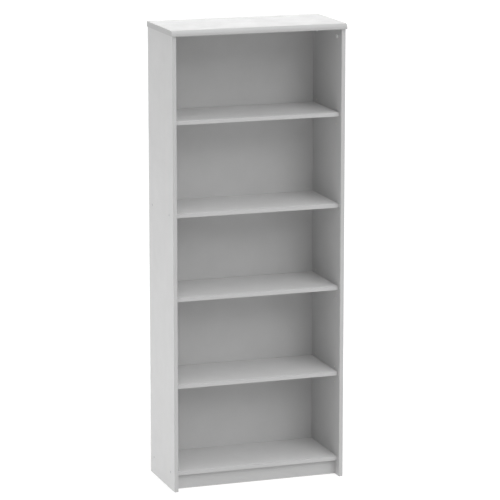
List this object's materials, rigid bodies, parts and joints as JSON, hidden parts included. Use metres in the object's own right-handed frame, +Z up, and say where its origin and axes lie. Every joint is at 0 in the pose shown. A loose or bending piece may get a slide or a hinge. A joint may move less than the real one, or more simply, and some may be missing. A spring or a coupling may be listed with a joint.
{
  "type": "bookcase with adjustable shelves",
  "caption": "Tall open bookcase with an overhanging top, a plinth, a nailed back panel, screwed fixed shelves and adjustable shelves that lie on pull-out steel pins.",
  "frame": {"origin": "on the floor, at the centre of the overall box", "axes": "+X to the right seen from the open front, +Y from the open front to the back panel, +Z up"},
  "size_m": [0.719, 0.334, 1.842],
  "materials": {
    "melamine_board": "light grey melamine-faced chipboard, fine satin pearl structure",
    "top_laminate": "light grey laminate, post-formed over the front edge, satin",
    "edge_band": "light grey thin plastic edge band, satin, slightly rounded",
    "hardboard": "thin hardboard, grey lacquer foil inside, raw brown fibre outside",
    "cam_zinc": "raw zinc casting",
    "zinc_plated_steel": "bright zinc plating",
    "nail_steel": "plain steel",
    "pin_nickel": "nickel plating, satin",
    "cap_plastic": "moulded grey plastic, fine texture",
    "beech": "raw fluted beech"
  },
  "bodies": {
    "carcass": {"left_side_panel": "melamine_board", "right_side_panel": "melamine_board", "left_side_front_band": "edge_band", "right_side_front_band": "edge_band", "top_panel": "top_laminate", "top_left_end_band": "edge_band", "top_right_end_band": "edge_band", "fixed_shelf_board": "melamine_board", "fixed_shelf_front_band": "edge_band", "bottom_shelf_board": "melamine_board", "bottom_shelf_front_band": "edge_band", "plinth_board": "melamine_board", "back_panel": "hardboard", "cam_locks": "cam_zinc", "cam_bolts": "zinc_plated_steel", "cam_cover_caps": "cap_plastic", "top_panel_dowels": "beech", "fixed_shelf_screws": "zinc_plated_steel", "fixed_shelf_dowels": "beech", "bottom_shelf_screws": "zinc_plated_steel", "bottom_shelf_dowels": "beech", "plinth_dowels": "beech", "plinth_brackets": "zinc_plated_steel", "plinth_bracket_screws": "zinc_plated_steel", "back_panel_nails": "nail_steel"},
    "upper_shelf": {"upper_shelf_board": "melamine_board", "upper_shelf_front_band": "edge_band"},
    "upper_shelf_pin_front_left": {"upper_shelf_pin_front_left": "pin_nickel"},
    "upper_shelf_pin_front_right": {"upper_shelf_pin_front_right": "pin_nickel"},
    "upper_shelf_pin_rear_left": {"upper_shelf_pin_rear_left": "pin_nickel"},
    "upper_shelf_pin_rear_right": {"upper_shelf_pin_rear_right": "pin_nickel"},
    "middle_shelf": {"middle_shelf_board": "melamine_board", "middle_shelf_front_band": "edge_band"},
    "middle_shelf_pin_front_left": {"middle_shelf_pin_front_left": "pin_nickel"},
    "middle_shelf_pin_front_right": {"middle_shelf_pin_front_right": "pin_nickel"},
    "middle_shelf_pin_rear_left": {"middle_shelf_pin_rear_left": "pin_nickel"},
    "middle_shelf_pin_rear_right": {"middle_shelf_pin_rear_right": "pin_nickel"},
    "lower_shelf": {"lower_shelf_board": "melamine_board", "lower_shelf_front_band": "edge_band"},
    "lower_shelf_pin_front_left": {"lower_shelf_pin_front_left": "pin_nickel"},
    "lower_shelf_pin_front_right": {"lower_shelf_pin_front_right": "pin_nickel"},
    "lower_shelf_pin_rear_left": {"lower_shelf_pin_rear_left": "pin_nickel"},
    "lower_shelf_pin_rear_right": {"lower_shelf_pin_rear_right": "pin_nickel"}
  },
  "joints": [
    {"name": "upper_shelf_lift", "type": "slide", "parent": "carcass", "child": "upper_shelf", "axis": [0, 0, 1], "range_m": [0, 0.0345]},
    {"name": "upper_shelf_pin_front_left_pull", "type": "slide", "parent": "carcass", "child": "upper_shelf_pin_front_left", "axis": [1, 0, 0], "range_m": [0, 0.01]},
    {"name": "upper_shelf_pin_front_right_pull", "type": "slide", "parent": "carcass", "child": "upper_shelf_pin_front_right", "axis": [-1, 0, 0], "range_m": [0, 0.01]},
    {"name": "upper_shelf_pin_rear_left_pull", "type": "slide", "parent": "carcass", "child": "upper_shelf_pin_rear_left", "axis": [1, 0, 0], "range_m": [0, 0.01]},
    {"name": "upper_shelf_pin_rear_right_pull", "type": "slide", "parent": "carcass", "child": "upper_shelf_pin_rear_right", "axis": [-1, 0, 0], "range_m": [0, 0.01]},
    {"name": "middle_shelf_lift", "type": "slide", "parent": "carcass", "child": "middle_shelf", "axis": [0, 0, 1], "range_m": [0, 0.0345]},
    {"name": "middle_shelf_pin_front_left_pull", "type": "slide", "parent": "carcass", "child": "middle_shelf_pin_front_left", "axis": [1, 0, 0], "range_m": [0, 0.01]},
    {"name": "middle_shelf_pin_front_right_pull", "type": "slide", "parent": "carcass", "child": "middle_shelf_pin_front_right", "axis": [-1, 0, 0], "range_m": [0, 0.01]},
    {"name": "middle_shelf_pin_rear_left_pull", "type": "slide", "parent": "carcass", "child": "middle_shelf_pin_rear_left", "axis": [1, 0, 0], "range_m": [0, 0.01]},
    {"name": "middle_shelf_pin_rear_right_pull", "type": "slide", "parent": "carcass", "child": "middle_shelf_pin_rear_right", "axis": [-1, 0, 0], "range_m": [0, 0.01]},
    {"name": "lower_shelf_lift", "type": "slide", "parent": "carcass", "child": "lower_shelf", "axis": [0, 0, 1], "range_m": [0, 0.0345]},
    {"name": "lower_shelf_pin_front_left_pull", "type": "slide", "parent": "carcass", "child": "lower_shelf_pin_front_left", "axis": [1, 0, 0], "range_m": [0, 0.01]},
    {"name": "lower_shelf_pin_front_right_pull", "type": "slide", "parent": "carcass", "child": "lower_shelf_pin_front_right", "axis": [-1, 0, 0], "range_m": [0, 0.01]},
    {"name": "lower_shelf_pin_rear_left_pull", "type": "slide", "parent": "carcass", "child": "lower_shelf_pin_rear_left", "axis": [1, 0, 0], "range_m": [0, 0.01]},
    {"name": "lower_shelf_pin_rear_right_pull", "type": "slide", "parent": "carcass", "child": "lower_shelf_pin_rear_right", "axis": [-1, 0, 0], "range_m": [0, 0.01]}
  ]
}
